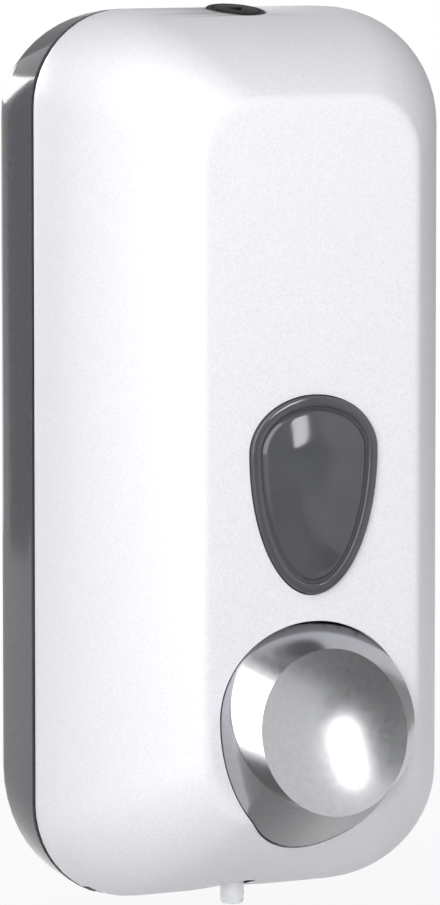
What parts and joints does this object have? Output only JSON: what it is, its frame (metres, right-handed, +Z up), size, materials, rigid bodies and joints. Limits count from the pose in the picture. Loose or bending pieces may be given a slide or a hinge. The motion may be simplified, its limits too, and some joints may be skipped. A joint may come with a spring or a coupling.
{
  "type": "soap dispenser",
  "caption": "Wall-mounted liquid soap dispenser: a crowned front cover with a tank window, a dished push button that works a piston pump, a top lock and a hinged refill lid inside.",
  "frame": {"origin": "middle of the back face, where the dispenser meets the wall", "axes": "+X to the dispenser's right as seen from the front, +Y into the wall, +Z up"},
  "size_m": [0.103, 0.0759, 0.2204],
  "materials": {
    "satin_cover": "silver-white satin with a fine sparkle",
    "grey_shell": "glossy mid grey",
    "satin_chrome": "satin chrome plate",
    "smoke_lens": "smoke-grey clear plastic, polished",
    "black_plastic": "black, light gloss",
    "white_plastic": "plain moulded",
    "clear_tank": "milky translucent",
    "clear_nozzle": "translucent white",
    "steel": "bright",
    "rubber": "soft black"
  },
  "bodies": {
    "wall_side": {"back_shell": "grey_shell", "tank_body": "clear_tank", "tank_seal": "rubber", "pump_body": "white_plastic", "pump_ring": "white_plastic", "pump_gland": "white_plastic", "rod_seal": "rubber", "pump_spring": "steel", "inlet_valve": "rubber", "outlet_valve": "rubber", "nozzle": "clear_nozzle", "lid_pin": "steel", "hinge_pin_left": "steel", "hinge_pin_right": "steel", "pump_screw_left": "steel", "pump_screw_right": "steel"},
    "cover": {"front_cover": "satin_cover", "window_lens": "smoke_lens", "window_gasket": "rubber", "window_retainer": "white_plastic", "retainer_screw_1": "steel", "retainer_screw_2": "steel", "retainer_screw_3": "steel", "retainer_screw_4": "steel", "lock_collar": "black_plastic", "lock_nut": "black_plastic", "button_pin_left": "steel", "button_pin_right": "steel"},
    "button": {"button_cap": "satin_chrome", "button_carrier": "black_plastic", "carrier_screw_left": "steel", "carrier_screw_right": "steel"},
    "plunger": {"plunger": "white_plastic", "piston_seal": "rubber"},
    "lock": {"lock_barrel": "black_plastic", "lock_cam": "steel", "lock_screw": "steel"},
    "lid": {"filler_lid": "white_plastic"}
  },
  "joints": [
    {"name": "cover_open", "type": "hinge", "parent": "wall_side", "child": "cover", "pos_m": [0, -0.0167, -0.10475], "axis": [1, 0, 0], "range_deg": [0, 90]},
    {"name": "button_press", "type": "hinge", "parent": "cover", "child": "button", "pos_m": [0, -0.056, -0.042], "axis": [1, 0, 0], "range_deg": [0, 10], "stiffness_Nm_per_rad": 0.3, "springref_deg": -8.02},
    {"name": "plunger_slide", "type": "slide", "parent": "wall_side", "child": "plunger", "axis": [0, 1, 0], "range_m": [0, 0.0058], "deforming": ["pump_spring"]},
    {"name": "lock_turn", "type": "hinge", "parent": "cover", "child": "lock", "pos_m": [0, -0.0247, 0.1069], "axis": [0, 0.1822, -0.9833], "range_deg": [0, 90]},
    {"name": "lid_open", "type": "hinge", "parent": "wall_side", "child": "lid", "pos_m": [0, -0.0088, 0.0797], "axis": [-1, 0, 0], "range_deg": [0, 90]}
  ],
  "couplings": [
    {"joint": "plunger_slide", "follows": "button_press", "m_per_rad": 0.0318}
  ]
}
